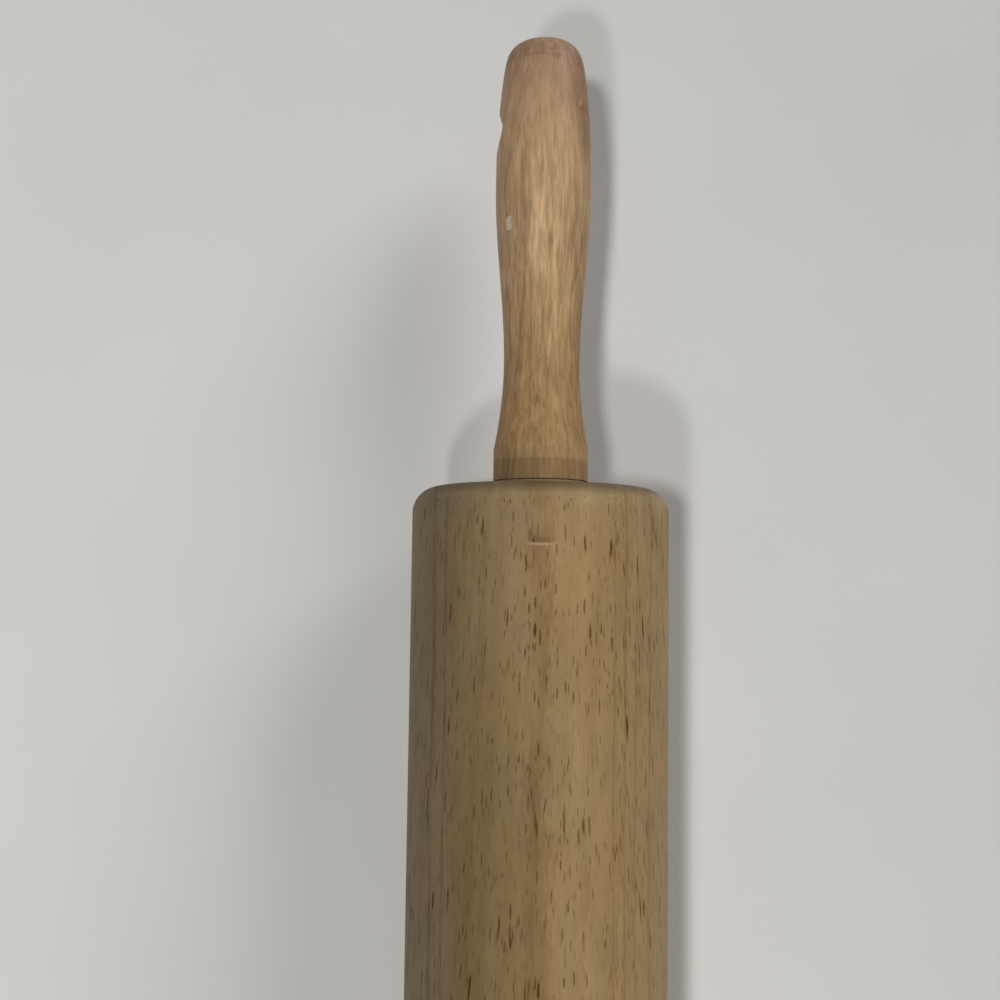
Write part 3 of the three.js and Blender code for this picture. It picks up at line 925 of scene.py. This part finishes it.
def turned_lines(ink, place):
    """Lines round the axis, as grinding on a lathe leaves them."""
    x, y, z = ink.parts(place)
    radius = ink.length(ink.add("ShaderNodeCombineXYZ", {"Y": y, "Z": z}).outputs["Vector"])
    unrolled = ink.add("ShaderNodeCombineXYZ", {"X": x, "Y": radius}).outputs["Vector"]
    return ink.clouds(unrolled, (0.1, 0.1, 1))


def crystals(ink, place):
    """The small crystals of a zinc coat."""
    cells = ink.add("ShaderNodeTexVoronoi", {"Vector": place, "Scale": 1.4, "Randomness": 1.0})
    return ink.add("ShaderNodeSeparateColor", {"Color": cells.outputs["Color"]}).outputs["Red"]


def nylon(name, dull, bright):
    """Moulded nylon, a little mottled, with a fine grain."""
    ink = Shading(name)
    place = ink.place()
    mottle = ink.clouds(place, (1.5, 1.5, 1.5), 3.0)
    grit = ink.clouds(place, (0.15, 0.15, 0.15))
    rough = ink.math("MULTIPLY_ADD", grit, 0.2, 0.42)
    return ink.finish(ink.blend(ink.step(mottle, 0.3, 0.7), dull, bright), rough, grit, 0.02)


def paint(piece, material):
    piece.data.materials.clear()
    piece.data.materials.append(material)


BODY_OF = {node: body for body, nodes in frame["record"]["behaviour"]["bodies"].items() for node in nodes}
SLOT_OF = {entry["node"]: entry["material_slot"] for entry in frame["record"]["subparts"]}
FINISHES = {
    "axle_steel": metal("drawn_steel", (0.40, 0.41, 0.43), (0.52, 0.53, 0.55), 0.34, drawn_lines, 6, 0.01),
    "zinc_steel": metal("zinc_coat", (0.30, 0.32, 0.33), (0.42, 0.44, 0.45), 0.48, crystals, 2, 0.004),
    "bearing_steel": metal("ground", (0.52, 0.54, 0.57), (0.64, 0.66, 0.69), 0.22, turned_lines, 3, 0.004),
    "cage_nylon": nylon("pale_nylon", (0.72, 0.68, 0.58), (0.82, 0.78, 0.69)),
    "washer_nylon": nylon("tan_nylon", (0.27, 0.185, 0.09), (0.33, 0.225, 0.11)),
}


def stand_for(piece, node, material=None):
    """A fine piece takes a solid's place and body, and the finish of that solid's slot unless it has its
    own.
    """
    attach(piece, BODY_OF[node])
    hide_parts(node)
    paint(piece, material or FINISHES[SLOT_OF[node]])


# Where along a handle its tree stands, and how far the left handle's tree is turned from the right one's
TREE_FROM_BASE = 70
LEFT_QUARTER = 150

barrel = turned("turned_barrel", barrel_outline(), BARREL_SIDES, closed=True)
cut_nick(barrel.data)
stand_for(barrel, "barrel", wood("barrel_wood", BARREL_WOOD, (0, 0, 0), 0, barrel_marks))

axle = turned("turned_axle", axle_outline(), THREAD_SIDES, closed=False)
cut_thread(axle.data, THREAD_START, AXLE_END - AXLE_CHAMFER, THREAD_RADIUS)
stand_for(axle, "axle_rod")

for side, sign, quarter in (("right", 1, 0), ("left", -1, LEFT_QUARTER)):
    handle_points = [(HANDLE_BASE + x, radius) for x, radius in handle_outline()]
    handle = turned(f"turned_handle_{side}", mirrored(handle_points, sign), HANDLE_SIDES, closed=False)
    if side == "right":
        press_dent(handle.data)
    origin = (sign * (HANDLE_BASE + TREE_FROM_BASE), 0, 0)
    handle_wood = wood(f"handle_wood_{side}", HANDLE_WOOD, origin, quarter, handle_marks)
    stand_for(handle, f"handle_{side}", handle_wood)

    insert_points = [(HANDLE_BASE + x, radius) for x, radius in insert_outline()]
    insert = turned(f"turned_insert_{side}", mirrored(insert_points, sign), THREAD_SIDES, closed=True)
    cut_thread(insert.data, HANDLE_BASE + EDGE_BREAK, HANDLE_BASE + INSERT_LENGTH, INSERT_BORE)
    stand_for(insert, f"threaded_insert_{side}")

    rings = {
        "spacer_washer": spacer_outline(),
        "bearing_inner_ring": inner_ring_outline(),
        "bearing_outer_ring": outer_ring_outline(),
        "bearing_shield_inner": ring_outline(
            BEARING_MIDDLE - SHIELD_OUTSIDE, BEARING_MIDDLE - SHIELD_INSIDE, SHIELD_BORE, SHIELD_RADIUS
        ),
        "bearing_shield_outer": ring_outline(
            BEARING_MIDDLE + SHIELD_INSIDE, BEARING_MIDDLE + SHIELD_OUTSIDE, SHIELD_BORE, SHIELD_RADIUS
        ),
    }
    for node, outline in rings.items():
        ring = turned(f"turned_{node}_{side}", mirrored(outline, sign), METAL_SIDES, closed=True)
        stand_for(ring, f"{node}_{side}")

    ball_middles = []
    for node in BODY_OF:
        if node.startswith(f"bearing_ball_{side}"):
            low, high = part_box(node)
            ball_middles.append((low + high) / 2)
            stand_for(ball(f"round_{node}", ball_middles[-1]), node)
    cage_outline = ring_outline(
        BEARING_MIDDLE - CAGE_HALF_WIDTH, BEARING_MIDDLE + CAGE_HALF_WIDTH, CAGE_BORE, CAGE_RADIUS
    )
    drilled = cage(f"drilled_cage_{side}", mirrored(cage_outline, sign), ball_middles)
    stand_for(drilled, f"bearing_cage_{side}")

# Floor
FLOOR_REACH = 4
FLOOR_CLOUD = (90, 90, 90)
FLOOR_TONES = (0.70, 0.70, 0.69), (0.77, 0.77, 0.76)
FLOOR_ROUGHNESS, FLOOR_SHEEN = 0.9, 0.2
floor_mesh = bpy.data.meshes.new("floor")
corners = [(x * FLOOR_REACH, y * FLOOR_REACH, 0) for x, y in ((-1, -1), (1, -1), (1, 1), (-1, 1))]
floor_mesh.from_pydata(corners, [], [(0, 1, 2, 3)])
floor = bpy.data.objects.new("floor", floor_mesh)
bpy.context.scene.collection.objects.link(floor)
ink = Shading("floor_paint")
ink.shader.inputs["Roughness"].default_value = FLOOR_ROUGHNESS
ink.shader.inputs["Specular IOR Level"].default_value = FLOOR_SHEEN
clouds = ink.clouds(ink.place(), FLOOR_CLOUD, 3.0)
ink.feed(ink.shader.inputs["Base Color"], ink.blend(clouds, *FLOOR_TONES))
paint(floor, ink.material)

# Lamps. A lamp's level is how brightly it lights a surface that faces it: at 1 a colour shows as written
LIT_PLACE = Vector((0.2, 0, 0.035))
LAMP_WHITE = (1, 0.985, 0.96)
WINDOW_WHITE = (1, 0.99, 0.97)


def add_lamp(name, kind, toward, distance, colour):
    """A new lamp that is aimed at the lit place from some way off."""
    data = bpy.data.lights.new(name, kind)
    data.color = colour
    lamp = bpy.data.objects.new(name, data)
    lamp.location = LIT_PLACE + Vector(toward).normalized() * distance
    lamp.rotation_mode = "QUATERNION"
    lamp.rotation_quaternion = Vector(toward).to_track_quat("Z", "Y")
    bpy.context.scene.collection.objects.link(lamp)
    return data


def disk_lamp(name, toward, distance, size, level):
    data = add_lamp(name, "AREA", toward, distance, LAMP_WHITE)
    data.shape = "DISK"
    data.size = size
    data.energy = level * (math.pi * distance) ** 2


def far_lamp(name, toward, spread, level):
    """A wide lamp, spread degrees across, and so far off that it lights the whole floor alike."""
    data = add_lamp(name, "SUN", toward, 1, WINDOW_WHITE)
    data.angle = math.radians(spread)
    data.energy = level * math.pi


disk_lamp("overhead", toward=(-0.12, 0.26, 1), distance=1.2, size=0.14, level=0.316)
disk_lamp("behind_barrel", toward=(-0.635, 0.28, 1), distance=1.3, size=0.12, level=0.205)
far_lamp("window", toward=(0.68, -0.62, 0.44), spread=30, level=0.53)

# The world is dim as a light, and pale where it is seen, straight on or in a reflection
WORLD_DIM, WORLD_PALE = 0.1, 0.6
WORLD_WHITE = (0.97, 0.97, 0.96, 1)
world = bpy.data.worlds.new("studio")
world.use_nodes = True
nodes, links = world.node_tree.nodes, world.node_tree.links
background = nodes["Background"]
background.inputs["Color"].default_value = WORLD_WHITE
rays = nodes.new("ShaderNodeLightPath")
seen = rays.outputs["Is Camera Ray"]
for kind in ("Is Glossy Ray", "Is Transmission Ray"):
    either = nodes.new("ShaderNodeMath")
    either.operation = "MAXIMUM"
    links.new(seen, either.inputs[0])
    links.new(rays.outputs[kind], either.inputs[1])
    seen = either.outputs[0]
strength = nodes.new("ShaderNodeMapRange")
strength.inputs["To Min"].default_value = WORLD_DIM
strength.inputs["To Max"].default_value = WORLD_PALE
links.new(seen, strength.inputs["Value"])
links.new(strength.outputs["Result"], background.inputs["Strength"])
bpy.context.scene.world = world

# Camera: over the barrel's end, looking down, tipped a little toward the handle
FOCAL_PIXELS = 1079.6
IMAGE_PIXELS = 1000
CAMERA_ABOVE_AXIS = 296
CAMERA_INSIDE_END = 22.55
CAMERA_Y = 11.05
CAMERA_TILT = math.radians(3.76)
CAMERA_ROLL = math.radians(0.72)

camera_data = bpy.data.cameras.new("camera")
camera_data.sensor_width = 36
camera_data.lens = camera_data.sensor_width * FOCAL_PIXELS / IMAGE_PIXELS
camera_data.clip_start = 0.01
camera = bpy.data.objects.new("camera", camera_data)
right = Vector((0, -1, 0))
up = Vector((math.cos(CAMERA_TILT), 0, math.sin(CAMERA_TILT)))
back = right.cross(up)
rolled_right = right * math.cos(CAMERA_ROLL) + up * math.sin(CAMERA_ROLL)
rolled_up = back.cross(rolled_right)
turn = Matrix((rolled_right, rolled_up, back)).transposed()
place = Vector((BARREL_END - CAMERA_INSIDE_END, CAMERA_Y, AXIS_HEIGHT + CAMERA_ABOVE_AXIS)) * MM
camera.matrix_world = Matrix.Translation(place) @ turn.to_4x4()
bpy.context.scene.collection.objects.link(camera)
bpy.context.scene.camera = camera

bpy.context.scene.view_settings.view_transform = "Standard"
